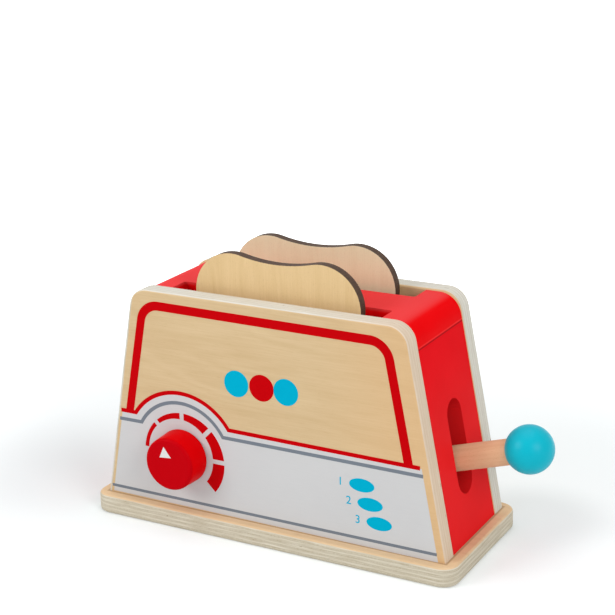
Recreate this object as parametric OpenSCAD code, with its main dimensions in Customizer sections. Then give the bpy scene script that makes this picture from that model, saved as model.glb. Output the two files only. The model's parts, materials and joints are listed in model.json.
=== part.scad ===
// Wooden toy toaster with two slices of toast, a see-saw lever and a turning knob.
// All sizes are in millimetres. The origin is the middle of the base board's
// underside: +X points to the lever's end, -Y to the front, +Z up.

/* [Toast] */
// Width of a slice across its two lobes
toast_w = 108; // [80:1:140]
// Width of a slice across its foot
toast_foot_w = 106; // [76:1:138]
// Height of a slice
toast_h = 110; // [80:1:135]
// Thickness of a slice
toast_t = 6; // [4:0.5:9]
// Radius of the two upper lobes
toast_lobe_r = 25; // [15:1:32]
// Radius of the two lower corners
toast_foot_r = 8; // [2:0.5:15]
// Radius that draws the waist and the dip between the lobes in
toast_waist_r = 100; // [60:5:160]

/* [Toast slots] */
// Room in a slot beyond each end of a slice
slot_end_play = 14.5; // [6:0.5:25]
// Room in a slot on each side of a slice
slot_side_play = 4.85; // [2:0.05:8]
// Radius of the slots' two inner corners
slot_corner_r = 2; // [1:0.5:6]
// Width of the red strip between the two slots
strip_w = 28.5; // [25:0.5:44]

/* [Body] */
// Height of the front and rear panels above the base board
body_h = 133.9; // [110:0.1:180]
// Lean of the two sloping ends from upright, in degrees
side_lean = 10.45; // [4:0.05:16]
// Length of the top cover beyond each end of a slot
cover_end_l = 20.15; // [16:0.05:30]
// Thickness of the front and rear panels
panel_t = 12; // [9:0.5:16]
// Radius of the panels' upper corners
panel_corner_r = 12.5; // [6:0.5:22]
// Rounding of the panels' edges
panel_edge_r = 1.5; // [0.5:0.25:3]
// Thickness of the two red end panels
end_t = 12; // [9:0.5:14]
// Thickness of the red top cover
cover_t = 15; // [12:0.5:18]
// How far the red end panels stand back from the edges of the front and rear panels
core_recess = 0.4; // [0.2:0.1:3]
// How far the red cover lies below the tops of the front and rear panels
cover_recess = 1; // [0.2:0.1:3]
// Radius of the bends where the cover turns down to the end panels
cover_corner_r = 14; // [6:0.5:22]

/* [Base board] */
// How far the base board stands out from the body all round
base_lip = 7; // [3:0.5:15]
// Thickness of the base board
base_t = 12; // [10:0.5:18]
// Radius of the base board's upright corners
base_corner_r = 10; // [4:0.5:20]
// Rounding of the base board's upper and lower edges
base_edge_r = 2; // [0.5:0.25:4]

/* [Lever] */
// Diameter of the ball on the end of the lever
ball_d = 28; // [20:1:40]
// Diameter of the lever's rod
rod_d = 15; // [10:0.5:18]
// Distance from the end panel's face to the middle of the ball, along the rod
ball_out = 42.5; // [30:0.5:60]
// Tilt of the rod from level, in degrees
lever_tilt = 17; // [10:0.5:22]
// Distance of the lever's pivot from the middle of the body
pivot_x = 40; // [34:1:48]
// Height of the lever's pivot above the base board
pivot_h = 26.3; // [22:0.1:34]
// Diameter of the pivot pin
pivot_d = 6; // [4:0.5:8]
// How far the lever can be pressed down from rest, in degrees
lever_down = 9.8; // [4:0.1:12]
// How far the lever can be raised from rest, in degrees
lever_up = 19.2; // [8:0.1:22]

/* [Rocker] */
// Thickness of the washer on each side of the rocker
washer_t = 1.6; // [0.8:0.1:2.5]
// Radius of the rocker's hub
hub_r = 11; // [9:0.5:14]
// Radius of the nose that lifts the toast
nose_r = 6; // [4:0.5:8]
// Length from the pivot to the shoulder where the rod begins
shoulder_l = 30; // [24:1:40]
// Height of the block that holds the rod
shoulder_h = 17; // [15:0.5:20]
// Diameter of the tenon on the inner end of the rod
tenon_d = 10; // [6:0.5:12]
// Length of that tenon
tenon_l = 15; // [10:1:18]

/* [Toast lift] */
// Diameter of the two cross bars
bar_d = 8; // [5:0.5:10]
// Distance between the two cross bars
bar_pitch = 40; // [25:1:44]
// Length of the rails that the slices stand on
rail_l = 100; // [70:1:104]
// Height of a rail
rail_h = 20; // [15:0.5:24]
// Depth of the groove in the top of a rail
groove_depth = 4.5; // [2:0.5:8]
// Wood left in a rail under the cross bars
rail_floor = 1; // [0.5:0.25:3]
// Thickness of the two dividers that guide the lift
divider_t = 4; // [3:0.5:6]

/* [Knob] */
// Diameter of the knob where it meets the panel
knob_d = 33.5; // [24:0.5:44]
// Depth of the knob
knob_depth = 16; // [10:0.5:24]
// How much the knob's radius shrinks towards its face
knob_taper = 0.6; // [0:0.1:2]
// Rounding of the knob's front rim
knob_rim_r = 2; // [0.5:0.1:4]
// Distance of the knob to the left of the middle
knob_x = 57.1; // [40:0.1:70]
// Height of the knob's axis above the base board
knob_h = 33.6; // [26:0.1:60]
// Diameter of the knob's screw
knob_screw_d = 6; // [4:0.5:8]

/* [Joinery] */
// Diameter of the screws that hold the base board
screw_d = 4; // [3:0.5:5]
// Diameter of those screws' heads
screw_head_d = 8; // [6:0.5:10]
// Length that those screws reach above the base board
screw_bite = 18; // [12:1:24]
// Diameter of the dowels between the panels
dowel_d = 8; // [6:0.5:8]
// Diameter of the dowels under the top cover
top_dowel_d = 5; // [4:0.5:6]

/* [Clearances] */
// Radial clearance of a shaft that turns in its hole
turn_gap = 0.075; // [0.02:0.005:0.1]
// Gap between flat faces that slide past each other
slide_gap = 0.4; // [0.2:0.05:0.6]
// Gap between a rail and the walls beside it
rail_gap = 0.6; // [0.4:0.05:1]
// Gap under a piece that rests on another one and can leave it
rest_gap = 0.25; // [0.15:0.05:0.4]
// Room in the lever's slot on each side of the rod
lever_side_gap = 2; // [0.5:0.25:3]
// Room between the rod and each end of its slot when the lever is at its limit
lever_end_gap = 2.25; // [0.5:0.25:3]
// Room above and below the cross bars when the lift is at its limit
lift_gap = 0.3; // [0.1:0.1:1]

/* [Hidden] */

birch = "burlywood";
edge_birch = "wheat";
red = "crimson";
turquoise = "darkturquoise";
steel = "silver";
over = 1;

// Slots, and the body that is built round them
slot_l = max(toast_w, toast_foot_w) + 2 * slot_end_play;
slot_w = toast_t + 2 * slot_side_play;
core_d = strip_w + 2 * slot_w;
body_d = core_d + 2 * panel_t;
body_top_l = slot_l + 2 * cover_end_l;
body_l = body_top_l + 2 * body_h * tan(side_lean);
base_l = body_l + 2 * base_lip;
base_d = body_d + 2 * base_lip;
body_top = base_t + body_h;
cover_top = body_top - cover_recess;
cover_bottom = cover_top - cover_t;
bay_y = strip_w / 2 + slot_w / 2;
edge_steps = 4;

// Half the length of the panels, and of the red core, at a height z
function panel_x(z) = body_l / 2 - (z - base_t) * tan(side_lean);
function core_x(z) = panel_x(z) - core_recess / cos(side_lean);
function core_inner_x(z) = core_x(z) - end_t / cos(side_lean);

// Knob
knob_z = base_t + knob_h;
knob_bore_l = 11;
knob_washer_d = 16;
knob_washer_t = 1.2;
knob_head_d = 11;
knob_head_t = 2.4;
knob_recess_d = knob_washer_d + 2;
knob_recess_l = slide_gap + knob_washer_t + knob_head_t + 1;
knob_floor_y = -core_d / 2 - knob_recess_l;
knob_back_y = -body_d / 2 - slide_gap;

// Lever: the rod's line crosses the end panel's face at cross_l from the pivot
pivot = [pivot_x, 0, base_t + pivot_h];
cross_l = (core_x(base_t) - pivot_h * tan(side_lean) - pivot_x)
    / (cos(lever_tilt) + tan(side_lean) * sin(lever_tilt));
ball_l = cross_l + ball_out;
rod_in_ball = 4;
divider_y = strip_w / 2 - divider_t / 2;
rocker_w = strip_w - 2 * (divider_t + slide_gap + washer_t);
washer_r = pivot_d / 2 + 5;

// The rod's slot, measured up the end panel's face from the foot of the pivot's perpendicular
pivot_to_face = (core_x(pivot.z) - pivot_x) * cos(side_lean);
slot_foot_z = pivot.z + pivot_to_face * sin(side_lean);
rod_low = lever_tilt - lever_down - side_lean;
rod_high = lever_tilt + lever_up - side_lean;
lever_slot_from = pivot_to_face * tan(rod_low) - rod_d / 2 / cos(rod_low) - lever_end_gap;
lever_slot_to = pivot_to_face * tan(rod_high) + rod_d / 2 / cos(rod_high) + lever_end_gap;
lever_slot_l = lever_slot_to - lever_slot_from;
lever_slot_w = rod_d + 2 * lever_side_gap;
lever_slot_z = slot_foot_z + (lever_slot_from + lever_slot_to) / 2 * cos(side_lean);

// Toast lift: the middle cross bar lies on the rocker's nose
bar_x = [0, -bar_pitch];
bar_z = pivot.z + nose_r + rest_gap + bar_d / 2;
rail_w = slot_w - 2 * rail_gap;
lift_up = pivot_x * sin(lever_down) + lift_gap;
lift_down = pivot_x * sin(lever_up) + lift_gap;
rail_bottom = bar_z - bar_d / 2 - rail_floor;
toast_z = rail_bottom + rail_h - groove_depth + rest_gap;
groove_w = toast_t + 2 * slide_gap;

// Joinery
screw_head_t = screw_head_d / 2 - screw_d / 2;
screw_sink = 0.6;
screw_gap = 0.2;
recess_l = 0.55;
recess_w = 0.16;
recess_deep = 1.2;
screw_x = [-80, 0, 80];
end_screw_y = 15;
end_screw_x = core_x(base_t + screw_bite / 2) - end_t / cos(side_lean) / 2;
panel_mid_y = core_d / 2 + panel_t / 2;
screw_spots = concat(
    [for (x = screw_x, s = [-1, 1]) [x, s * panel_mid_y]],
    [for (x = [-1, 1], y = [-1, 1]) [x * end_screw_x, y * end_screw_y]]
);
dowel_room = 3;
cover_dowel_up = 7;
cover_dowel_down = 9;
dowel_in_panel = 8;
dowel_in_end = core_d / 2 - lever_slot_w / 2 - dowel_room;
dowel_h = [
    screw_bite + dowel_room + dowel_d / 2,
    cover_bottom - base_t - cover_dowel_down - dowel_room - dowel_d / 2
];
cover_dowel_y = 18;
cover_dowel_x = core_x(cover_bottom) - end_t / cos(side_lean) / 2 - 0.7;

// ---- Outlines -------------------------------------------------------------

function unit(v) = v / norm(v);

// Points that round the corner b between a and c with radius r
function corner(a, b, c, r, n) =
    r == 0 ? [b] :
    let (
        u = unit(a - b),
        v = unit(c - b),
        half = acos(u * v) / 2,
        centre = b + unit(u + v) * r / sin(half),
        start = b + u * r / tan(half) - centre,
        turn = sign(cross(b - a, c - b)) * (180 - 2 * half)
    )
    [for (i = [0:n])
        let (t = turn * i / n)
        centre + [start.x * cos(t) - start.y * sin(t), start.x * sin(t) + start.y * cos(t)]];

// A closed outline with each corner rounded by its own radius
function rounded(points, radii, n = 12) =
    let (last = len(points))
    [for (i = [0:last - 1])
        each corner(points[(i + last - 1) % last], points[i], points[(i + 1) % last], radii[i], n)];

// The panels' outline in X and Z, drawn in by inset except along the foot
function panel_points(inset) =
    let (
        slope = inset / cos(side_lean),
        foot = panel_x(base_t) - slope,
        top_z = body_top - inset,
        top = panel_x(top_z) - slope,
        r = panel_corner_r - inset
    )
    rounded([[-foot, base_t], [foot, base_t], [top, top_z], [-top, top_z]], [0, 0, r, r]);

// The base board's outline in X and Y, drawn in by inset
function base_points(inset) =
    let (x = base_l / 2 - inset, y = base_d / 2 - inset, r = base_corner_r - inset)
    rounded([[-x, -y], [x, -y], [x, y], [-x, y]], [r, r, r, r]);

module toast_outline() {
    lobe_x = toast_w / 2 - toast_lobe_r;
    foot_x = toast_foot_w / 2 - toast_foot_r;
    offset(r = -toast_waist_r, $fn = 240)
    offset(r = toast_waist_r, $fn = 240) {
        for (s = [-1, 1])
            translate([s * lobe_x, toast_h - toast_lobe_r]) circle(toast_lobe_r, $fn = 96);
        hull()
            for (s = [-1, 1]) {
                translate([s * foot_x, toast_foot_r]) circle(toast_foot_r, $fn = 32);
                translate([s * lobe_x, toast_h - toast_lobe_r]) circle(toast_foot_r, $fn = 32);
            }
    }
}

// ---- Shapes used more than once --------------------------------------------

// An outline in X and Z given thickness t, centred on the plane at y
module upright(y, t) {
    translate([0, y, 0]) rotate([90, 0, 0]) linear_extrude(t, center = true) children();
}

// A straight round bar along Y, from y0 to y1, at the given X and Z
module y_bar(x, z, y0, y1, d) {
    translate([x, y0, z]) rotate([-90, 0, 0]) cylinder(h = y1 - y0, d = d, $fn = 64);
}

// A slot with round ends, l long up Z and w wide along Y, cut right through along X
module round_slot(w, l, depth) {
    run = l - w;
    translate([-depth / 2, -w / 2, -run / 2]) cube([depth, w, run]);
    for (s = [-1, 1])
        translate([-depth / 2, 0, s * run / 2]) rotate([0, 90, 0]) cylinder(h = depth, d = w, $fn = 64);
}

module on_lever() {
    translate(pivot) rotate([0, -lever_tilt, 0]) children();
}

// A round bar along the lever's rod, from l0 to l1 out from the pivot
module lever_bar(l0, l1, d) {
    on_lever() translate([l0, 0, 0]) rotate([0, 90, 0]) cylinder(h = l1 - l0, d = d, $fn = 64);
}

module plywood_panel(side) {
    hull()
        for (i = [0:edge_steps]) {
            a = 90 * i / edge_steps;
            upright(side * panel_mid_y, panel_t - 2 * panel_edge_r * (1 - cos(a)))
                polygon(panel_points(panel_edge_r * (1 - sin(a))));
        }
}

// The cross for a screwdriver in the end of a screw's head of diameter d, cut up from z = 0
module cross_recess(d) {
    for (turn = [0, 90])
        rotate([0, 0, turn])
            translate([-recess_l * d / 2, -recess_w * d / 2, -over])
                cube([recess_l * d, recess_w * d, recess_deep + over]);
}

module base_screw(spot) {
    translate([spot.x, spot.y, screw_sink])
        difference() {
            union() {
                cylinder(h = screw_head_t, d1 = screw_head_d, d2 = screw_d, $fn = 48);
                cylinder(h = base_t - screw_sink + screw_bite, d = screw_d, $fn = 48);
            }
            cross_recess(screw_head_d);
        }
}

module screw_pilots() {
    for (spot = screw_spots)
        translate([spot.x, spot.y, base_t - over]) cylinder(h = screw_bite + over, d = screw_d, $fn = 48);
}

module dowels_in_panels() {
    for (s = [-1, 1], e = [-1, 1], h = dowel_h) {
        x = e * (core_x(base_t + h) - end_t / cos(side_lean) / 2);
        near = s * (core_d / 2 - dowel_in_end);
        far = s * (core_d / 2 + dowel_in_panel);
        y_bar(x, base_t + h, min(near, far), max(near, far), dowel_d);
    }
}

module dowels_in_cover() {
    for (s = [-1, 1], e = [-1, 1])
        translate([e * cover_dowel_x, s * cover_dowel_y, cover_bottom - cover_dowel_down])
            cylinder(h = cover_dowel_up + cover_dowel_down, d = top_dowel_d, $fn = 48);
}

module end_board() {
    z1 = cover_bottom;
    upright(0, core_d)
        polygon([
            [core_inner_x(base_t), base_t], [core_x(base_t), base_t],
            [core_x(z1), z1], [core_inner_x(z1), z1]
        ]);
}

module divider(side) {
    z1 = cover_bottom;
    difference() {
        upright(side * divider_y, divider_t)
            polygon([
                [-core_inner_x(base_t), base_t], [core_inner_x(base_t), base_t],
                [core_inner_x(z1), z1], [-core_inner_x(z1), z1]
            ]);
        y_bar(pivot.x, pivot.z, -strip_w, strip_w, pivot_d);
        for (x = bar_x)
            translate([x, 0, bar_z + (lift_up - lift_down) / 2])
                rotate([0, 0, 90])
                    round_slot(bar_d + 2 * slide_gap, lift_up + lift_down + bar_d + 2 * slide_gap, 2 * strip_w);
    }
}

module lift_rail(side) {
    difference() {
        translate([-rail_l / 2, side * bay_y - rail_w / 2, rail_bottom]) cube([rail_l, rail_w, rail_h]);
        translate([-rail_l / 2 - over, side * bay_y - groove_w / 2, rail_bottom + rail_h - groove_depth])
            cube([rail_l + 2 * over, groove_w, groove_depth + over]);
        for (x = bar_x)
            y_bar(x, bar_z, -core_d, core_d, bar_d);
    }
}

module toast(side) {
    translate([0, 0, toast_z]) upright(side * bay_y, toast_t) toast_outline();
}

// ---- Sub-parts --------------------------------------------------------------

module base_board() {
    color(birch)
    difference() {
        hull()
            for (i = [0:edge_steps]) {
                a = 90 * i / edge_steps;
                rise = base_edge_r * (1 - cos(a));
                translate([0, 0, rise]) linear_extrude(base_t - 2 * rise)
                    polygon(base_points(base_edge_r * (1 - sin(a))));
            }
        for (spot = screw_spots)
            translate([spot.x, spot.y, 0]) {
                translate([0, 0, -over]) cylinder(h = base_t + 2 * over, d = screw_d + 2 * screw_gap, $fn = 48);
                translate([0, 0, -over]) cylinder(h = screw_sink + over, d = screw_head_d, $fn = 48);
                translate([0, 0, screw_sink])
                    cylinder(h = screw_head_t, d1 = screw_head_d, d2 = screw_d, $fn = 48);
            }
    }
}

module front_panel() {
    color(birch)
    difference() {
        plywood_panel(-1);
        y_bar(-knob_x, knob_z, -body_d, 0, knob_screw_d + 2 * turn_gap);
        y_bar(-knob_x, knob_z, knob_floor_y, 0, knob_recess_d);
        screw_pilots();
        dowels_in_panels();
    }
}

module rear_panel() {
    color(birch)
    difference() {
        plywood_panel(1);
        screw_pilots();
        dowels_in_panels();
    }
}

module left_end_panel() {
    color(red)
    difference() {
        mirror([1, 0, 0]) end_board();
        screw_pilots();
        dowels_in_panels();
        dowels_in_cover();
    }
}

module right_end_panel() {
    color(red)
    difference() {
        end_board();
        translate([core_x(lever_slot_z), 0, lever_slot_z]) rotate([0, -side_lean, 0])
            round_slot(lever_slot_w, lever_slot_l, 4 * end_t);
        screw_pilots();
        dowels_in_panels();
        dowels_in_cover();
    }
}

module top_cover() {
    foot = core_x(cover_bottom);
    top = core_x(cover_top);
    color(red)
    difference() {
        upright(0, core_d)
            polygon(rounded(
                [[-foot, cover_bottom], [foot, cover_bottom], [top, cover_top], [-top, cover_top]],
                [0, 0, cover_corner_r, cover_corner_r], 16));
        for (s = [0, 1])
            mirror([0, s, 0]) translate([0, 0, cover_bottom - over])
                linear_extrude(cover_t + 2 * over)
                    polygon(rounded(
                        [[-slot_l / 2, strip_w / 2], [slot_l / 2, strip_w / 2],
                         [slot_l / 2, core_d], [-slot_l / 2, core_d]],
                        [slot_corner_r, slot_corner_r, 0, 0], 8));
        dowels_in_cover();
    }
}

module front_divider() {
    color(edge_birch) divider(-1);
}

module rear_divider() {
    color(edge_birch) divider(1);
}

module pivot_pin() {
    color(steel) y_bar(pivot.x, pivot.z, -strip_w / 2, strip_w / 2, pivot_d);
}

module pivot_washers() {
    inner = rocker_w / 2 + slide_gap / 2;
    color(steel)
    for (s = [0, 1])
        mirror([0, s, 0])
            difference() {
                y_bar(pivot.x, pivot.z, inner, inner + washer_t, 2 * washer_r);
                y_bar(pivot.x, pivot.z, 0, strip_w, pivot_d + 2 * turn_gap);
            }
}

module lever_rocker() {
    fill_r = 4;
    color(birch)
    difference() {
        upright(0, rocker_w)
            offset(r = -fill_r, $fn = 48) offset(r = fill_r, $fn = 48) {
                hull() {
                    translate([pivot.x, pivot.z]) circle(hub_r, $fn = 64);
                    translate([bar_x[0], pivot.z]) circle(nose_r, $fn = 48);
                }
                translate([pivot.x, pivot.z]) rotate(lever_tilt)
                    translate([0, -shoulder_h / 2]) square([shoulder_l, shoulder_h]);
            }
        y_bar(pivot.x, pivot.z, -strip_w, strip_w, pivot_d + 2 * turn_gap);
        lever_bar(shoulder_l - tenon_l, shoulder_l + over, tenon_d);
    }
}

module lever_rod() {
    color(edge_birch)
    union() {
        lever_bar(shoulder_l - tenon_l, shoulder_l + over, tenon_d);
        lever_bar(shoulder_l, ball_l - rod_in_ball, rod_d);
    }
}

module lever_ball() {
    r = ball_d / 2;
    mouth = -acos(rod_d / ball_d);
    steps = 32;
    arc = [for (i = [0:steps])
        let (a = mouth + (90 - mouth) * i / steps)
        [r * cos(a), r * sin(a)]];
    color(turquoise)
    on_lever() translate([ball_l, 0, 0]) rotate([0, 90, 0])
        rotate_extrude($fn = 96)
            polygon(concat([[0, -rod_in_ball], [rod_d / 2, -rod_in_ball]], arc));
}

module lift_rail_front() {
    color(edge_birch) lift_rail(-1);
}

module lift_rail_rear() {
    color(edge_birch) lift_rail(1);
}

module lift_cross_bars() {
    reach = core_d / 2 - rail_gap - 0.5;
    color(birch)
    for (x = bar_x)
        y_bar(x, bar_z, -reach, reach, bar_d);
}

module front_toast() {
    color("goldenrod") toast(-1);
}

module rear_toast() {
    color("peru") toast(1);
}

module timer_knob() {
    r = knob_d / 2;
    back_r = 0.6;
    front = r - knob_taper;
    color(red)
    difference() {
        translate([-knob_x, knob_back_y, knob_z]) rotate([90, 0, 0])
            rotate_extrude($fn = 96)
                polygon(rounded(
                    [[0, 0], [r, 0], [front, knob_depth], [0, knob_depth]],
                    [0, back_r, knob_rim_r, 0], 8));
        y_bar(-knob_x, knob_z, knob_back_y - knob_bore_l, 0, knob_screw_d);
    }
}

module knob_screw() {
    head_y = knob_floor_y + slide_gap + knob_washer_t;
    color(steel)
    difference() {
        union() {
            y_bar(-knob_x, knob_z, knob_back_y - knob_bore_l, head_y + over, knob_screw_d);
            y_bar(-knob_x, knob_z, head_y, head_y + knob_head_t, knob_head_d);
        }
        translate([-knob_x, head_y + knob_head_t, knob_z]) rotate([90, 0, 0]) cross_recess(knob_head_d);
    }
}

module knob_washer() {
    washer_y = knob_floor_y + slide_gap;
    color(steel)
    difference() {
        y_bar(-knob_x, knob_z, washer_y, washer_y + knob_washer_t, knob_washer_d);
        y_bar(-knob_x, knob_z, washer_y - over, washer_y + 2 * over + knob_washer_t, knob_screw_d);
    }
}

module base_screws() {
    color(steel)
    for (spot = screw_spots)
        base_screw(spot);
}

module panel_dowels() {
    color(edge_birch) dowels_in_panels();
}

module cover_dowels() {
    color(edge_birch) dowels_in_cover();
}

base_board();
front_panel();
rear_panel();
left_end_panel();
right_end_panel();
top_cover();
front_divider();
rear_divider();
pivot_pin();
pivot_washers();
lever_rocker();
lever_rod();
lever_ball();
lift_rail_front();
lift_rail_rear();
lift_cross_bars();
front_toast();
rear_toast();
timer_knob();
knob_screw();
knob_washer();
base_screws();
panel_dowels();
cover_dowels();
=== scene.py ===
# %% [markdown]
# # A wooden toy toaster
# The carpentry is already done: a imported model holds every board, dowel and joint at its real size.
# This lesson gives it its looks: the camera and the light, the finish of each kind of wood, paint and
# metal, softened edges, and the ink that is printed on the front. Nothing here moves a board.

# %% Load the finished carpentry
import json
import math

import bmesh
import bpy
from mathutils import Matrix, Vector


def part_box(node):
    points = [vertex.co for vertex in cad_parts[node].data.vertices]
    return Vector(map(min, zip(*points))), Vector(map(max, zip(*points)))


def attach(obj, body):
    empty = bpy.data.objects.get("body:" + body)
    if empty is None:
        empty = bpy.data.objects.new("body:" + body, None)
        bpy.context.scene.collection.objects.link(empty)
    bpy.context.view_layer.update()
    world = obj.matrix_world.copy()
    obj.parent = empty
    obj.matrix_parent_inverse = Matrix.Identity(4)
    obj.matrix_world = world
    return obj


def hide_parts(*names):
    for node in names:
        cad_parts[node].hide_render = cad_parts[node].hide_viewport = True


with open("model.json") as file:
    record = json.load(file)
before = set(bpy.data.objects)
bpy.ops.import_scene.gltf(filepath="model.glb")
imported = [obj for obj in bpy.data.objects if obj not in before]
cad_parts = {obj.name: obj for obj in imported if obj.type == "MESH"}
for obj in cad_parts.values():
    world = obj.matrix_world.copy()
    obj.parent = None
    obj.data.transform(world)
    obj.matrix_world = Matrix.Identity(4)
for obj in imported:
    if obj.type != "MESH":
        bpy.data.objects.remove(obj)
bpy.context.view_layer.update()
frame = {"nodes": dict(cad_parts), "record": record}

MM = 0.001

# %% [markdown]
# ## The camera
# A product picture is taken with a long lens, so that the sloping sides stay calm. The camera could be
# set by eye; here its place, direction and lens were worked out from the straight edges of the boards,
# so that the picture has the same view as the real one.

# %% Put the camera where the picture was taken
CAMERA_AT = Vector((428.26, -759.58, 406.99)) * MM
CAMERA_TURN = math.radians(29.051)
CAMERA_DIP = math.radians(17.42)
CAMERA_ROLL = math.radians(-1.2465)
LENS = 91.5
SENSOR = 36
SEES_TO = 20

bpy.ops.object.camera_add(location=CAMERA_AT, rotation=(math.pi / 2 - CAMERA_DIP, 0, CAMERA_TURN))
camera = bpy.context.object
camera.name = "camera"
camera.rotation_euler.rotate_axis("Z", CAMERA_ROLL)
camera.data.lens = LENS
camera.data.sensor_width = SENSOR
camera.data.clip_end = SEES_TO
bpy.context.scene.camera = camera
bpy.context.scene.view_settings.view_transform = "Standard"
print("camera distance in metres:", round(CAMERA_AT.length, 3))

# %% [markdown]
# ## Writing a finish as sums
# A finish is a network of nodes. Wired by hand it is hard to read, so a small class wraps a socket and
# turns ordinary arithmetic into Math nodes, and one method adds any other node from its type, its
# settings and what goes into its sockets.

# %% The classes behind every finish
class Value:
    """A socket of a network. Arithmetic on it adds Math nodes."""

    def __init__(self, network, socket):
        self.network = network
        self.socket = socket

    def maths(self, operation, *terms):
        return self.network.node("ShaderNodeMath", {"operation": operation}, dict(enumerate(terms)))

    def __add__(self, other):
        return self.maths("ADD", self, other)

    def __sub__(self, other):
        return self.maths("SUBTRACT", self, other)

    def __rsub__(self, other):
        return self.maths("SUBTRACT", other, self)

    def __mul__(self, other):
        return self.maths("MULTIPLY", self, other)

    def __truediv__(self, other):
        return self.maths("DIVIDE", self, other)

    def __mod__(self, other):
        return self.maths("FLOORED_MODULO", self, other)

    def __abs__(self):
        return self.maths("ABSOLUTE", self)

    __radd__ = __add__
    __rmul__ = __mul__

    def sine(self):
        return self.maths("SINE", self)

    def floor(self):
        return self.maths("FLOOR", self)

    def power(self, other):
        return self.maths("POWER", self, other)

    def most(self, other):
        return self.maths("MAXIMUM", self, other)

    def rise(self, low, high):
        """0 below low, 1 above high, and a smooth step between them."""
        return self.network.node(
            "ShaderNodeMapRange", {"interpolation_type": "SMOOTHSTEP"},
            {"Value": self, "From Min": low, "From Max": high})


class Network:
    """The nodes of a material or of the world."""

    def __init__(self, tree):
        self.tree = tree

    def feed(self, socket, value):
        if isinstance(value, Value):
            self.tree.links.new(value.socket, socket)
        else:
            socket.default_value = value

    def node(self, kind, settings, sockets, output=0):
        made = self.tree.nodes.new(kind)
        for name, setting in settings.items():
            setattr(made, name, setting)
        for name, value in sockets.items():
            self.feed(made.inputs[name], value)
        return Value(self, made.outputs[output])

    def seen(self):
        """1 where the camera looks, straight or by way of a reflection or glass, and 0 for plain light."""
        camera, mirror, glass = [
            self.node("ShaderNodeLightPath", {}, {}, ray)
            for ray in ("Is Camera Ray", "Is Glossy Ray", "Is Transmission Ray")]
        return camera.most(mirror).most(glass)


class Finish(Network):
    """A material in the making, over one Principled shader."""

    def __init__(self, name):
        self.material = bpy.data.materials.new(name)
        self.material.use_nodes = True
        super().__init__(self.material.node_tree)
        self.shader = self.tree.nodes["Principled BSDF"]

    def axes(self, middle=(0, 0, 0)):
        """X, Y and Z in millimetres from a point that is given in metres."""
        place = self.node("ShaderNodeTexCoord", {}, {}, "Object")
        place = self.node("ShaderNodeMapping", {}, {
            "Vector": place, "Location": [-part / MM for part in middle], "Scale": [1 / MM] * 3})
        return [self.node("ShaderNodeSeparateXYZ", {}, {"Vector": place}, axis) for axis in "XYZ"]

    def point(self, x, y, z):
        return self.node("ShaderNodeCombineXYZ", {}, {"X": x, "Y": y, "Z": z})

    def noise(self, point, detail=2.0, roughness=0.5):
        return self.node("ShaderNodeTexNoise", {}, {
            "Vector": point, "Scale": 1.0, "Detail": detail, "Roughness": roughness})

    def mix(self, low, high, share):
        return self.node("ShaderNodeMix", {"data_type": "RGBA"}, {0: share, 6: low, 7: high}, 2)

    def bump(self, height, depth_mm, strength):
        return self.node("ShaderNodeBump", {}, {
            "Height": height, "Distance": depth_mm * MM, "Strength": strength})

    def done(self, **sockets):
        for name, value in sockets.items():
            self.feed(self.shader.inputs[name.replace("_", " ")], value)
        return self.material


def rgb(red, green, blue):
    """A colour from 0 to 255 as screens show it, turned into the linear light that a shader works in."""
    parts = [part / 255 for part in (red, green, blue)]
    return [part / 12.92 if part <= 0.04045 else ((part + 0.055) / 1.055) ** 2.4 for part in parts] + [1]

# %% [markdown]
# ## Wood grain
# Rotary-cut birch has marks at several scales: slow bands where the knife crossed the growth rings, a
# broad drift of tone, fibres a fraction of a millimetre apart, and short dark flecks. A photograph of
# veneer could be wrapped on, but it would repeat and smear on the edges. Noise drawn out along the grain
# runs through the solid instead, so every face and every rounded edge cuts it where a saw would.

# %% How dark the wood is at a point
def wood_tone(finish, along, across, deep, rings=12.0):
    """
    From about 0 to 1, for a grain that runs along the first axis. rings sets how close the growth
    bands lie.
    """
    drift = finish.noise(finish.point(along * 0.005, across * 0.03, deep * 0.03), detail=2)
    bands = (drift * rings * math.tau).sine() * 0.5 + 0.5
    broad = finish.noise(finish.point(along * 0.01, across * 0.1, deep * 0.1), detail=3)
    fibres = finish.noise(finish.point(along * 0.04, across * 1.3, deep * 1.3), detail=4, roughness=0.65)
    flecks = finish.noise(finish.point(along * 0.22, across * 2.6, deep * 2.6), detail=2).rise(0.6, 0.74)
    return bands * 0.1 + broad * 0.5 + fibres * 0.55 + flecks * 0.2 - 0.18

# %% [markdown]
# ## Plywood
# A plywood board shows its face veneer on the broad sides and all of its plies on the edges: every
# second ply runs crosswise and shows end grain, which is darker, and the glue between them is a thin
# line that is darker still. The plies could be modelled one by one, but a board this size would need
# dozens of slivers. Measuring how deep each point lies under the face gives the same edge, also where
# it is rounded.

# %% A finish for a plywood board
GLUE = rgb(176, 164, 142)
CORE_GAP = rgb(128, 102, 72)


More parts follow.
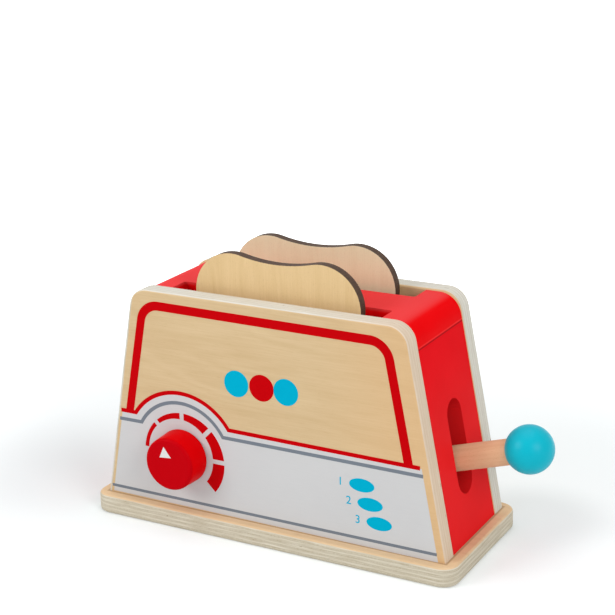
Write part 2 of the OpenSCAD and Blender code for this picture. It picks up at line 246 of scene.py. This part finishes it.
def plywood(name, middle, axis, thickness, along, plies, face, edge, contrast=0.25, streaks=1.4,
            veneers=(0.25, 0.25), sanded=None, burn=None, touch=None):
    """
    face and edge are each a (pale, dark) pair of colours, contrast is how clearly the plies differ,
    streaks is how strongly their fibres show, and veneers is how deep the face colour reaches on the
    low and the high side. sanded tells where the face veneer is sanded through, burn is the pair of
    colours on an edge cut by a laser, and touch is a function that goes over the finished colour.
    """
    finish = Finish(name)
    place = finish.axes(middle)
    deep = place[axis]
    grain = place[along]
    across = place[3 - axis - along]
    tone = wood_tone(finish, grain, across, deep)
    face_colour = finish.mix(face[0], face[1], tone)

    waver = finish.noise(finish.point(grain * 0.025, across * 0.025, deep * 0.05), detail=2) - 0.5
    level = (deep + waver * 0.7) / (thickness / plies) + plies / 2
    crosswise = (level.floor() % 2.0).rise(0.4, 0.6)
    glue = abs(level % 1.0 - 0.5).rise(0.36, 0.48)
    lengthwise_marks = finish.noise(finish.point(grain * 0.06, across * 0.06, deep * 2.6), detail=4)
    end_marks = finish.noise(finish.point(grain * 1.3, across * 1.3, deep * 0.9), detail=3, roughness=0.7)
    marks = lengthwise_marks * (1 - crosswise * 0.35) + end_marks * crosswise * 0.35
    edge_tone = 0.25 + crosswise * contrast + (marks - 0.5) * streaks
    edge_colour = finish.mix(edge[0], edge[1], edge_tone)
    edge_colour = finish.mix(edge_colour, GLUE, glue * marks * 0.5)
    holes = finish.noise(finish.point(grain * 0.13, across * 0.13, deep * 0.6), detail=1)
    gap = holes.rise(0.74, 0.76) * crosswise
    edge_colour = finish.mix(edge_colour, CORE_GAP, gap)

    def past_veneer(depth, veneer):
        """1 deeper than the veneer and 0 within it, with a ragged line between them."""
        return (depth + marks * 0.25).rise(veneer - 0.05, veneer + 0.2)

    on_edge = past_veneer(deep + thickness / 2, veneers[0]) * past_veneer(thickness / 2 - deep, veneers[1])
    if sanded:
        on_edge = on_edge.most(sanded(grain, across))
    height = tone * (1 - on_edge) + (edge_tone - gap) * on_edge
    if burn:
        soot = finish.noise(finish.point(grain * 1.2, across * 1.2, deep * 0.25), detail=3, roughness=0.6)
        edge_colour = finish.mix(burn[0], burn[1], soot * 1.3 - 0.15)
        on_edge = (thickness / 2 - abs(deep) + soot * 0.12).rise(0.06, 0.2)
    colour = finish.mix(face_colour, edge_colour, on_edge)
    if touch:
        colour = touch(finish, colour, *place)
    return finish.done(
        Base_Color=colour,
        Roughness=0.52 + tone * 0.12 + on_edge * 0.1,
        Normal=finish.bump(height, 0.05, 0.5),
        Specular_IOR_Level=0.25)


def middle_of(node):
    low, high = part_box(node)
    return (low + high) / 2


def thickness_of(node, axis):
    low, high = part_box(node)
    return (high[axis] - low[axis]) / MM


X, Y, Z = 0, 1, 2
PANEL_FOOT, PANEL_TOP = [corner.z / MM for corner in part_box("front_panel")]
PANEL_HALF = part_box("front_panel")[1].x / MM
FACE_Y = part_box("front_panel")[0].y
LEAN = math.tan(math.radians(10.45))
FOOT_SHADE_WIDTH = 1.6
birch_edge = (rgb(223, 221, 213), rgb(180, 169, 146))
burnt_edge = (rgb(94, 70, 53), rgb(40, 29, 24))


def panel_side(z):
    """Half the front panel's length at a height in millimetres."""
    return PANEL_HALF - (z - PANEL_FOOT) * LEAN


def sanded_left(grain, across):
    """The front panel's left edge, where the sander went through the face veneer."""
    return 1 - (grain + panel_side(across + (PANEL_FOOT + PANEL_TOP) / 2)).rise(1.2, 2.2)


def warmer_right(finish, colour, x, y, z):
    """The front's veneer turns a little more orange towards its right end."""
    return finish.mix(colour, rgb(222, 172, 118), x.rise(20, 110) * 0.4)


def soiled_foot(finish, colour, x, y, z):
    """Painted shade: a thin dark line where the body stands on the base board, in the joint."""
    beside = (PANEL_HALF + FOOT_SHADE_WIDTH - abs(x)).rise(0, 1.0)
    before = (abs(FACE_Y / MM) + FOOT_SHADE_WIDTH - abs(y)).rise(0, 1.0)
    # Painted shade: the base board turns darker in a thin band round the body's foot.
    return finish.mix(colour, rgb(140, 104, 72), beside * before * 0.6)


def board_finish(name, node, axis, along, plies, pale, dark, edge=birch_edge, **more):
    """The plywood finish for a node, from its own middle and thickness."""
    return plywood(
        name, middle_of(node), axis, thickness_of(node, axis), along, plies, (pale, dark), edge, **more)


finishes = {
    "base_board": board_finish(
        "lacquered_base_plywood", "base_board", Z, X, 9, rgb(229, 199, 160), rgb(198, 164, 124),
        edge=(rgb(216, 208, 190), rgb(167, 151, 121)), contrast=0.24,
        streaks=2.4, veneers=(0.25, 0.8), touch=soiled_foot),
    "front_panel": board_finish(
        "lacquered_front_plywood", "front_panel", Y, X, 9, rgb(217, 191, 150), rgb(187, 154, 110),
        contrast=0.18, veneers=(0.4, 0.25), sanded=sanded_left, touch=warmer_right),
    "rear_panel": board_finish(
        "lacquered_rear_plywood", "rear_panel", Y, X, 9, rgb(217, 190, 148), rgb(186, 152, 108),
        contrast=0.18, veneers=(0.9, 0.25)),
    "front_toast": board_finish(
        "golden_toast_plywood", "front_toast", Y, Z, 5, rgb(230, 200, 152), rgb(198, 164, 112),
        burn=burnt_edge),
    # The rear toast's pale colour is partly its own tone and partly shifted towards yellow-green, painted to
    # cancel the pink light that the red cover throws on it.
    "rear_toast": board_finish(
        "light_toast_plywood", "rear_toast", Y, Z, 5, rgb(226, 219, 187), rgb(206, 190, 152),
        burn=burnt_edge),
}
print("plywood finishes:", sorted(finishes))

# %% [markdown]
# ## Bare solid wood
# The rod, the dowels and the works inside are sanded beech or birch without lacquer. They are solid, so
# one grain runs through each, and it follows the length of the piece.

# %% A finish for bare wood
def bare_wood(name, along, pale, dark, middle=(0, 0, 0), tilt=0.0):
    """along is the axis that the grain follows; tilt leans that axis up from X, for the lever's rod."""
    finish = Finish(name)
    x, y, z = finish.axes(middle)
    if tilt:
        x, z = x * math.cos(tilt) + z * math.sin(tilt), z * math.cos(tilt) - x * math.sin(tilt)
    place = [x, y, z]
    grain = place.pop(along)
    tone = wood_tone(finish, grain, place[0], place[1], rings=8.0)
    flecks = finish.noise(finish.point(grain * 0.7, place[0] * 3.0, place[1] * 3.0), detail=1).rise(0.62, 0.7)
    return finish.done(
        Base_Color=finish.mix(pale, dark, tone + flecks * 0.25),
        Roughness=0.58 + tone * 0.12,
        Normal=finish.bump(tone - flecks, 0.04, 0.5),
        Specular_IOR_Level=0.25)


PALE_WOOD = (rgb(226, 196, 160), rgb(196, 156, 116))
LEVER_TILT = math.radians(17)
finishes["lever_rod"] = bare_wood(
    "sanded_rod_wood", X, rgb(236, 195, 156), rgb(206, 154, 115), middle_of("lever_rod"), LEVER_TILT)
finishes["lever_rocker"] = bare_wood("sanded_rocker_wood", X, *PALE_WOOD)
for node in ("front_divider", "rear_divider", "lift_rail_front", "lift_rail_rear"):
    finishes[node] = bare_wood("sanded_" + node, X, *PALE_WOOD, middle_of(node))
crosswise_wood = bare_wood("sanded_crosswise_dowels", Y, *PALE_WOOD)
finishes["lift_cross_bars"] = crosswise_wood
finishes["panel_dowels"] = crosswise_wood
finishes["cover_dowels"] = bare_wood("sanded_upright_dowels", Z, *PALE_WOOD)

# %% [markdown]
# ## Paint
# The red and turquoise paint is sprayed in thin coats over sanded wood. Close to, it isn't flat: the
# coat has a fine orange-peel skin, the fibres of the wood still lift it a little, and its tone drifts
# where the coat is thicker. The shine is weak and broad, as on a satin paint.

# %% A finish for sprayed paint
def paint(name, colour, deep_colour, roughness, shine, touch=None):
    """
    shine is how strongly the paint mirrors the room, from 0 to 1; touch is a function that goes over
    the finished colour once more.
    """
    finish = Finish(name)
    x, y, z = finish.axes()
    drift = finish.noise(finish.point(x * 0.04, y * 0.04, z * 0.04), detail=3)
    fibres = finish.noise(finish.point(x * 0.12, y * 1.4, z * 1.4), detail=3, roughness=0.6)
    skin = finish.noise(finish.point(x * 0.5, y * 0.5, z * 0.5), detail=2)
    specks = finish.noise(finish.point(x * 3.0, y * 3.0, z * 3.0), detail=1)
    tone = drift * 0.7 + fibres * 0.2 + specks * 0.25 - 0.1
    mixed = finish.mix(colour, deep_colour, tone)
    if touch:
        mixed = touch(finish, mixed, x, y, z)
    return finish.done(
        Base_Color=mixed,
        Roughness=roughness + specks * 0.08 + drift * 0.06,
        Normal=finish.bump(skin * 0.7 + fibres * 0.2 + specks * 0.1, 0.04, 0.35),
        Specular_IOR_Level=shine)


SEAM_Z, COVER_TOP = [corner.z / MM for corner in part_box("top_cover")]
KNOB_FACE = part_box("timer_knob")[0].y / MM


def seam_marks(finish, colour, x, y, z):
    """
    The seam under the cover gets a line of painted shade, and just above it the cover's edge a painted
    highlight. The end panels are painted paler towards the base, as painted light from the white floor.
    """
    above = z - SEAM_Z
    # Painted shade in the seam under the cover, and a painted highlight on the cover's edge just above it.
    seam_shade = above.rise(-0.9, -0.4) * (1 - above.rise(-0.1, 0.2))
    edge_highlight = above.rise(0.2, 0.4) * (1 - above.rise(0.8, 1.2))
    colour = finish.mix(colour, rgb(132, 0, 6), seam_shade * 0.7)
    # Painted floor light: the end panels turn paler towards the base.
    colour = finish.mix(colour, rgb(232, 70, 66), (SEAM_Z - z).rise(5, 60) * 0.2)
    return finish.mix(colour, rgb(240, 96, 92), edge_highlight * 0.25)


def dulled_top(finish, colour, x, y, z):
    """The seam's painted shade and highlight, and a painted sheen that makes the flat top paler pink."""
    colour = seam_marks(finish, colour, x, y, z)
    # Painted sheen: the flat top turns paler pink, for the room's light mirrored by the satin paint.
    return finish.mix(colour, rgb(229, 70, 72), (z - (COVER_TOP - 2.6)).rise(0, 2.5) * 0.72)


def soaked_face(finish, colour, x, y, z):
    """Painted shade: the knob's flat face is painted darker than its turned side, which catches more light.
    """
    # Painted shade: the flat face is darker than the turned side.
    return finish.mix(colour, rgb(184, 0, 12), (KNOB_FACE + 2.4 - y).rise(0, 2.0) * 0.85)


end_red = paint("end_red_paint", rgb(237, 11, 24), rgb(216, 3, 15), 0.42, 0.015, seam_marks)
finishes["left_end_panel"] = end_red
finishes["right_end_panel"] = end_red
finishes["top_cover"] = paint(
    "cover_red_paint", rgb(240, 3, 10), rgb(224, 0, 5), 0.42, 0.015, dulled_top)
finishes["timer_knob"] = paint(
    "knob_red_paint", rgb(222, 0, 6), rgb(206, 0, 4), 0.32, 0.02, soaked_face)
finishes["lever_ball"] = paint("ball_turquoise_paint", rgb(0, 184, 202), rgb(0, 164, 186), 0.29, 0.14)

# %% [markdown]
# ## Steel
# The screws, the pin and the washers are zinc-plated steel. Their turned surfaces scatter light in fine
# rings, which short noise across the metal imitates.

# %% A finish for plated steel
def steel(name):
    finish = Finish(name)
    x, y, z = finish.axes()
    scratches = finish.noise(finish.point(x * 0.6, y * 14.0, z * 0.6), detail=3, roughness=0.7)
    stains = finish.noise(finish.point(x * 0.5, y * 0.5, z * 0.5), detail=3)
    return finish.done(
        Base_Color=finish.mix(rgb(214, 214, 212), rgb(176, 178, 182), stains),
        Metallic=1.0,
        Roughness=0.25 + scratches * 0.2 + stains * 0.1,
        Normal=finish.bump(scratches, 0.01, 0.4))


plated = steel("zinc_plated_steel")
for node in ("pivot_pin", "pivot_washers", "knob_screw", "knob_washer", "base_screws"):
    finishes[node] = plated
print("finishes for nodes:", len(finishes), "of", len(frame["nodes"]))

# %% [markdown]
# ## Softening the edges
# No real edge is sharp: sandpaper takes a little off, and that sliver catches the light. The packed
# meshes are loose triangles and stay as they are, so each node is copied, its triangles are merged
# into whole faces, and a small bevel runs along its sharp edges. Clamping is off, because one short
# edge would shrink the bevel of the whole piece without a word.
#
# Width 0 keeps the edges that the CAD gave a piece. The end panels, the front panel and the dividers
# have it because a bevel of a tenth of a millimetre already cuts through itself there. The base board
# and the ball have it because they are rounded already, and the base screws because they are out of
# sight.

# %% Copy a node and soften its edges
WELD_WITHIN = 0.002
FLAT_WITHIN = 0.3
SMOOTH_BELOW = 35
BEVEL_ABOVE = 40
slot_of = {part["node"]: part["material_slot"] for part in frame["record"]["subparts"]}
bodies = frame["record"]["behaviour"]["bodies"]
body_of = {node: body for body, members in bodies.items() for node in members}


def alone(piece):
    """Selects one piece and nothing else."""
    bpy.ops.object.select_all(action="DESELECT")
    piece.select_set(True)
    bpy.context.view_layer.objects.active = piece


def modify(piece, kind, **settings):
    """Adds a modifier with its settings and applies it."""
    alone(piece)
    modifier = piece.modifiers.new(kind.lower(), kind)
    for name, setting in settings.items():
        setattr(modifier, name, setting)
    bpy.ops.object.modifier_apply(modifier=modifier.name)


def shade(piece):
    """Smooth shading across shallow angles, with large faces kept flat."""
    alone(piece)
    bpy.ops.object.shade_smooth_by_angle(angle=math.radians(SMOOTH_BELOW))
    modify(piece, "WEIGHTED_NORMAL", keep_sharp=True)


def merged_copy(node):
    """A copy of a node whose triangles are merged into whole faces."""
    source = frame["nodes"][node]
    piece = bpy.data.objects.new("finished_" + node, source.data.copy())
    bpy.context.scene.collection.objects.link(piece)
    piece.data.materials.clear()
    alone(piece)
    bpy.ops.object.mode_set(mode="EDIT")
    bpy.ops.mesh.select_all(action="SELECT")
    bpy.ops.mesh.customdata_custom_splitnormals_clear()
    bpy.ops.mesh.remove_doubles(threshold=WELD_WITHIN * MM)
    bpy.ops.mesh.dissolve_limited(angle_limit=math.radians(FLAT_WITHIN))
    bpy.ops.object.mode_set(mode="OBJECT")
    return piece


def settle(piece, body, slot, finish, *replaced):
    """Gives a piece its finish and its body, and hides the nodes that it stands for."""
    piece.data.materials.clear()
    piece.data.materials.append(finish)
    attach(piece, body)
    if replaced:
        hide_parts(*replaced)
    print(piece.name, "rides on", body, "with", len(piece.data.polygons), "faces")


softened = {
    "left_end_panel": 0, "right_end_panel": 0, "top_cover": 0.15,
    "front_toast": 0.25, "rear_toast": 0.25,
    "base_board": 0, "front_panel": 0, "rear_panel": 0.15,
    "lever_rod": 0.3, "lever_rocker": 0.1, "lever_ball": 0,
    "lift_rail_front": 0.1, "lift_rail_rear": 0.1, "lift_cross_bars": 0.4,
    "front_divider": 0, "rear_divider": 0,
    "pivot_pin": 0.2, "pivot_washers": 0.15, "knob_screw": 0.3, "knob_washer": 0.15,
    "base_screws": 0, "panel_dowels": 0.4, "cover_dowels": 0.4,
}
for node, width in softened.items():
    piece = merged_copy(node)
    if width:
        modify(
            piece, "BEVEL", width=width * MM, segments=3, limit_method="ANGLE",
            angle_limit=math.radians(BEVEL_ABOVE), use_clamp_overlap=False)
    shade(piece)
    settle(piece, body_of[node], slot_of[node], finishes[node], node)

# %% [markdown]
# ## Ink
# The front is screen printed: a silver field with a hump over the knob, red and grey lines, dots and
# ovals. It could be painted by a mask in the board's material, but a mask blurs when it is baked. Each
# colour is modelled as a real film of ink, at most a tenth of a millimetre thick, so that its outline
# stays crisp from any distance. Where two films cross, the one that should be seen is the thicker.

# %% A finish for ink over wood
def ink(name, colour, deep_colour, roughness=0.5):
    finish = Finish(name)
    x, y, z = finish.axes()
    fibres = finish.noise(finish.point(x * 0.08, y, z * 1.3), detail=4, roughness=0.6)
    specks = finish.noise(finish.point(x * 4.0, y, z * 4.0), detail=1)
    drift = finish.noise(finish.point(x * 0.03, y, z * 0.03), detail=2)
    tone = fibres * 0.5 + specks * 0.3 + drift * 0.5 - 0.15
    return finish.done(
        Base_Color=finish.mix(colour, deep_colour, tone),
        Roughness=roughness + fibres * 0.12,
        Normal=finish.bump(fibres * 0.7 + specks * 0.3, 0.03, 0.3),
        Specular_IOR_Level=0.015)


inks = {
    "red_ink": ink("red_print", rgb(200, 4, 12), rgb(184, 0, 7)),
    "turquoise_ink": ink("turquoise_print", rgb(0, 174, 206), rgb(0, 162, 196)),
    "silver_ink": ink("silver_print", rgb(207, 206, 206), rgb(196, 195, 196), 0.42),
    "grey_ink": ink("grey_print", rgb(124, 132, 141), rgb(110, 117, 127)),
    "white_ink": ink("white_inlay", rgb(228, 227, 225), rgb(214, 213, 211)),
}

# %% [markdown]
# ## Lines that climb over the knob
# Each line runs level, climbs over the knob in an arc, and runs on. By hand this is a circle cut off at
# the line's height, whose two ends are pulled out to the sides of the panel. Pushed out into a low fence
# and thickened evenly, it is a ribbon with true mitres where the arc begins.

# %% Helpers for modelling in edit mode
KNOB_MIDDLE = middle_of("timer_knob")
KNOB_X, KNOB_Z = KNOB_MIDDLE.x / MM, KNOB_MIDDLE.z / MM
HUMP_MIDDLE = (KNOB_X - 0.35, KNOB_Z + 0.15)
FILM = 0.06
OVER_SILVER = FILM + 0.02
FRAME_FILM = FILM + 0.03
RED_LINE_FILM = FILM + 0.04
SAME_POINT = 0.001
NEAR = 0.01
SHORTEST = 1.2


def edit(piece):
    alone(piece)
    bpy.ops.object.mode_set(mode="EDIT")
    bpy.ops.mesh.select_all(action="SELECT")


def leave():
    bpy.ops.object.mode_set(mode="OBJECT")


def pick(test):
    """Selects the vertices whose place, in millimetres, passes a test."""
    bpy.ops.mesh.select_mode(type="VERT")
    bpy.ops.mesh.select_all(action="DESELECT")
    mesh = bmesh.from_edit_mesh(bpy.context.edit_object.data)
    for vert in mesh.verts:
        vert.select = test(vert.co / MM)
    mesh.select_flush_mode()
    bmesh.update_edit_mesh(bpy.context.edit_object.data)


def pull(x=0.0, y=0.0, z=0.0):
    """Extrudes what is selected by a step in millimetres."""
    bpy.ops.mesh.extrude_region_move(TRANSFORM_OT_translate={"value": (x * MM, y * MM, z * MM)})


def circle(name, x, z, radius, corners=96, fill="NOTHING", y=FACE_Y / MM):
    """A circle that faces the front, about a point in millimetres."""
    bpy.ops.object.select_all(action="DESELECT")
    bpy.ops.mesh.primitive_circle_add(
        vertices=corners, radius=radius * MM, fill_type=fill,
        location=(x * MM, y * MM, z * MM), rotation=(math.pi / 2, 0, 0))
    piece = bpy.context.object
    piece.name = name
    bpy.ops.object.transform_apply(location=True, rotation=True, scale=True)
    return piece


def closed(piece):
    """Faces outwards and no doubles."""
    edit(piece)
    bpy.ops.mesh.remove_doubles(threshold=SAME_POINT * MM)
    bpy.ops.mesh.normals_make_consistent(inside=False)
    leave()


def hump_path(name, radius, left, right):
    """
    Opens a circle over the knob at the height of a line from left to right, and pulls its ends out.
    The cut can leave a short edge at either end, on which the ribbon would fold over itself, so edges
    shorter than SHORTEST are merged.
    """
    piece = circle(name, *HUMP_MIDDLE, radius)
    slope = (right[1] - left[1]) / (right[0] - left[0])
    edit(piece)
    bpy.ops.mesh.bisect(
        plane_co=(left[0] * MM, FACE_Y, left[1] * MM), plane_no=(-slope, 0, 1),
        clear_inner=True, threshold=SAME_POINT * MM)

    def line(x):
        return left[1] + slope * (x - left[0])

    ends = []
    for side, end in ((-1, left), (1, right)):
        pick(lambda p: abs(p.z - line(p.x)) < NEAR and (p.x - KNOB_X) * side > 0)
        mesh = bmesh.from_edit_mesh(piece.data)
        foot = [vert.co / MM for vert in mesh.verts if vert.select]
        assert len(foot) == 1, (name, len(foot))
        pull(end[0] - foot[0].x, 0, end[1] - foot[0].z)
        ends.append(foot[0])
    bpy.ops.mesh.select_all(action="SELECT")
    bpy.ops.mesh.dissolve_degenerate(threshold=SHORTEST * MM)
    print(name, "feet at", [round(foot.x, 1) for foot in ends])
    return piece


# %% The printed lines
def ribbon(piece, width, film):
    """Makes an open path into a flat ribbon of ink with mitred corners."""
    bpy.ops.mesh.select_all(action="SELECT")
    bpy.ops.mesh.remove_doubles(threshold=NEAR * MM)
    pull(y=-film)
    bpy.ops.mesh.select_all(action="SELECT")
    bpy.ops.mesh.normals_make_consistent(inside=False)
    leave()
    modify(piece, "SOLIDIFY", thickness=width * MM, offset=0, use_even_offset=True)
    closed(piece)


def print_piece(piece, slot, body="housing"):
    shade(piece)
    settle(piece, body, slot, inks[slot])


red_line = hump_path("red_line", 39.1, (-100.5, 67.55), (97.8, 66.3))
ribbon(red_line, 2.5, RED_LINE_FILM)
print_piece(red_line, "red_ink")

grey_line = hump_path("grey_line", 32.85, (-101.9, 61.9), (99.6, 61.75))
ribbon(grey_line, 2.2, OVER_SILVER)
print_piece(grey_line, "grey_ink")

# %% The silver field below them
FIELD_TOP = 67.0
field_foot = PANEL_FOOT + 0.8
left_side, right_side = [-panel_side(FIELD_TOP) + 3.5, panel_side(FIELD_TOP) - 4.45]
silver_field = hump_path("silver_field", 38.9, (left_side, FIELD_TOP), (right_side, FIELD_TOP - 0.9))
for side, end in ((-1, left_side), (1, right_side)):
    pick(lambda p: abs(p.x - end) < 0.1)
    pull(side * (panel_side(field_foot) - panel_side(FIELD_TOP)), 0, field_foot - FIELD_TOP)
bpy.ops.mesh.select_all(action="SELECT")
bpy.ops.mesh.edge_face_add()
bpy.ops.mesh.select_all(action="SELECT")
pull(y=-FILM)
leave()
closed(silver_field)
print_piece(silver_field, "silver_ink")

# %% [markdown]
# The two straight prints are simpler: a bar of grey ink along the foot, and a broad red frame with round
# corners whose legs stand on the red line.

# %% The grey bar and the red frame
def path(name, points, y=FACE_Y / MM):
    """A chain of straight edges through points given as (x, z) in millimetres."""
    piece = circle(name, *points[0], 1, corners=3, y=y)
    edit(piece)
    bpy.ops.mesh.merge(type="CENTER")
    bpy.ops.mesh.select_mode(type="VERT")
    for (x0, z0), (x1, z1) in zip(points, points[1:]):
        pull(x1 - x0, 0, z1 - z0)
    return piece


grey_bar = path("grey_bar", [(-110.5, 16.55), (108.0, 16.45)])
ribbon(grey_bar, 1.85, OVER_SILVER)
print_piece(grey_bar, "grey_ink")

FRAME_CORNER = 9.8
HALF_WAY_UP = 100
red_frame = path("red_frame", [(-94.45, 66.9), (-80.55, 137.0), (77.75, 135.95), (90.9, 66.3)])
pick(lambda p: p.z > HALF_WAY_UP)
bpy.ops.mesh.bevel(affect="VERTICES", offset=FRAME_CORNER * MM, offset_type="OFFSET", segments=12)
ribbon(red_frame, 5.45, FRAME_FILM)
print_piece(red_frame, "red_ink")

# %% [markdown]
# ## The dial
# The dial's wedge grows from a thin end to its full width round the knob, because its outer and inner
# circles have different middles. It is a ring bridged between the two circles, cut into five parts by
# slits that lie 45 degrees apart.

# %% The dial's five segments
OUTER = (0.7, -1.1, 27.9)
INNER = (-1.8, 0.2, 22.55)
SLIT = 2.75
DIAL_PARTS = 5
DIAL_START = 180
STEP = 45
DIAL_CORNERS = 144


def dial_segment(number, start):
    """The part of the dial from one slit to the next, clockwise from an angle in degrees."""
    name = f"dial_segment_{number}"
    piece = circle(name, KNOB_X + OUTER[0], KNOB_Z + OUTER[1], OUTER[2], DIAL_CORNERS)
    circle("inner", KNOB_X + INNER[0], KNOB_Z + INNER[1], INNER[2], DIAL_CORNERS)
    piece.select_set(True)
    bpy.context.view_layer.objects.active = piece
    bpy.ops.object.join()
    edit(piece)
    bpy.ops.mesh.bridge_edge_loops()
    for angle, side in ((start, -1), (start - STEP, 1)):
        turn = math.radians(angle)
        square_to = Vector((-math.sin(turn), 0, math.cos(turn))) * side
        spot = KNOB_MIDDLE.copy()
        spot.y = FACE_Y
        bpy.ops.mesh.select_all(action="SELECT")
        bpy.ops.mesh.bisect(
            plane_co=spot + square_to * SLIT / 2 * MM, plane_no=square_to,
            clear_inner=True, threshold=SAME_POINT * MM)
    bpy.ops.mesh.select_all(action="SELECT")
    pull(y=-OVER_SILVER)
    leave()
    closed(piece)
    return piece


for number in range(DIAL_PARTS):
    print_piece(dial_segment(number + 1, DIAL_START - number * STEP), "red_ink")

# %% [markdown]
# ## Dots, ovals and numbers
# Three dots sit in the middle of the front and three oval buttons at its right, each with a number.

# %% The dots and the ovals
def oval(name, x, z, width, height, film):
    piece = circle(name, x, z, width / 2, 72, "NGON")
    edit(piece)
    bpy.ops.transform.resize(value=(1, 1, height / width), center_override=(x * MM, FACE_Y, z * MM))
    pull(y=-film)
    leave()
    closed(piece)
    return piece


DOT = 16.1
DOT_Z = 97.05
dots = ((-18.3, "turquoise_ink"), (-1.55, "red_ink"), (14.35, "turquoise_ink"))
for number, (x, colour) in enumerate(dots, 1):
    print_piece(oval(f"dot_{number}", x, DOT_Z, DOT, DOT, FILM), colour)

BUTTON_L, BUTTON_H = 15.9, 8.1
buttons = [(61.9, 49.25), (67.0, 38.45), (72.6, 27.75)]
for number, (x, z) in enumerate(buttons, 1):
    print_piece(oval(f"button_{number}", x, z, BUTTON_L, BUTTON_H, OVER_SILVER), "turquoise_ink")

# %% The numbers
DIGIT_H = 7
DIGIT_BOLDER = 0.05
DIGIT_LEFT_OF_BUTTON = 13.5
for number, (x, z) in enumerate(buttons, 1):
    bpy.ops.object.select_all(action="DESELECT")
    bpy.ops.object.text_add()
    digit = bpy.context.object
    digit.data.body = str(number)
    digit.data.size = DIGIT_H * MM
    digit.data.align_x = "CENTER"
    digit.data.align_y = "CENTER"
    digit.data.extrude = FILM / 2 * MM
    digit.data.offset = DIGIT_BOLDER * MM
    bpy.ops.object.convert(target="MESH")
    digit = bpy.context.object
    digit.name = f"number_{number}"
    digit.rotation_euler = (math.pi / 2, 0, 0)
    digit.location = ((x - DIGIT_LEFT_OF_BUTTON) * MM, FACE_Y - FILM * MM, z * MM)
    bpy.ops.object.transform_apply(location=True, rotation=True, scale=True)
    closed(digit)
    print_piece(digit, "turquoise_ink")

# %% [markdown]
# ## The knob
# The knob is turned on a lathe. Its pointer is a small white triangle: a shallow pocket is cut into the
# face with a boolean, and a white inlay fills it, so that nothing stands proud of the turned face.

# %% The knob and its pointer
POINTER = [(-2.8, 11.1), (-6.0, 3.8), (2.1, 4.6)]
OVERHANG = 1
POCKET_DEEP = 0.3
INLAY_FRONT = 0.04
INLAY_BACK = 0.28
INLAY_SMALLER = 0.01


def triangle(name, front, back, grow=0.0):
    """A three-cornered block from one depth to another, grown by a share of the pointer's size."""
    middle = [sum(corner[i] for corner in POINTER) / 3 for i in (0, 1)]
    points = [(KNOB_X + x + (x - middle[0]) * grow, KNOB_Z + z + (z - middle[1]) * grow) for x, z in POINTER]
    piece = path(name, points, front)
    bpy.ops.mesh.select_all(action="SELECT")
    bpy.ops.mesh.edge_face_add()
    bpy.ops.mesh.select_all(action="SELECT")
    pull(y=back - front)
    leave()
    closed(piece)
    return piece


knob = merged_copy("timer_knob")
pocket = triangle("pocket", KNOB_FACE - OVERHANG, KNOB_FACE + POCKET_DEEP)
modify(knob, "BOOLEAN", operation="DIFFERENCE", object=pocket, solver="EXACT")
bpy.data.objects.remove(pocket)
shade(knob)
settle(knob, "knob", slot_of["timer_knob"], finishes["timer_knob"], "timer_knob")
pointer = triangle("knob_pointer", KNOB_FACE + INLAY_FRONT, KNOB_FACE + INLAY_BACK, -INLAY_SMALLER)
print_piece(pointer, "white_ink", "knob")

# %% [markdown]
# ## The stage and the light
# The toy stands on a white sweep under soft studio light: one large lamp above, a smaller one in front
# at each side, and a white room all round. The floor looks white because it glows a little to the
# camera and in reflections. It adds no plain light, so that the wood and the paint keep their tones. The
# glow is held back at two spots, one at each side of the toy, where the soft shadows fall.

# %% The floor
FLOOR_SIZE = 12
bpy.ops.object.select_all(action="DESELECT")
bpy.ops.mesh.primitive_plane_add(size=FLOOR_SIZE)
floor = bpy.context.object
floor.name = "floor"
sweep = Finish("white_sweep")
floor_x, floor_y = sweep.axes()[:2]


def away(middle_x, middle_y, near, far):
    """0 within the near distance of a spot on the floor, and 1 beyond the far one."""
    across = floor_x - middle_x
    back = floor_y - middle_y
    return (across * across + back * back).power(0.5).rise(near, far)


lift = away(0, 0, 220, 700) + away(-170, -10, 10, 130) * 0.2 + away(125, 60, 20, 60) * 0.13 - 0.08
glow = sweep.node("ShaderNodeEmission", {}, {"Color": (1, 1, 1, 1), "Strength": sweep.seen() * lift})
# The floor's faint cyan tint is painted to cancel the pink light that the red panels throw on it.
matt = sweep.node("ShaderNodeBsdfDiffuse", {}, {"Color": rgb(224, 229, 230)})
both = sweep.node("ShaderNodeAddShader", {}, {0: matt, 1: glow})
sweep.feed(sweep.tree.nodes["Material Output"].inputs["Surface"], both)
floor.data.materials.append(sweep.material)

# %% The room
PLAIN_LIGHT = 0.5
world = bpy.data.worlds.new("white_room")
world.use_nodes = True
bpy.context.scene.world = world
room = Network(world.node_tree)
background = room.tree.nodes["Background"]
room.feed(background.inputs["Color"], (1, 1, 1, 1))
room.feed(background.inputs["Strength"], PLAIN_LIGHT + room.seen() * (1 - PLAIN_LIGHT))

# %% The lamps
OBJECT_MIDDLE = Vector((0, 0, 0.08))


def lamp(name, place, size, power):
    """A square soft box that faces the toy."""
    bpy.ops.object.light_add(type="AREA", location=place)
    made = bpy.context.object
    made.name = name
    made.data.shape = "SQUARE"
    made.data.size = size
    made.data.energy = power
    made.rotation_euler = (OBJECT_MIDDLE - Vector(place)).to_track_quat("-Z", "Y").to_euler()


lamp("overhead_lamp", (-0.1, 0.1, 1.5), 1.2, 7)
lamp("left_lamp", (-1.0, -1.2, 0.9), 0.8, 12)
lamp("right_lamp", (1.4, -0.8, 0.9), 0.8, 12)
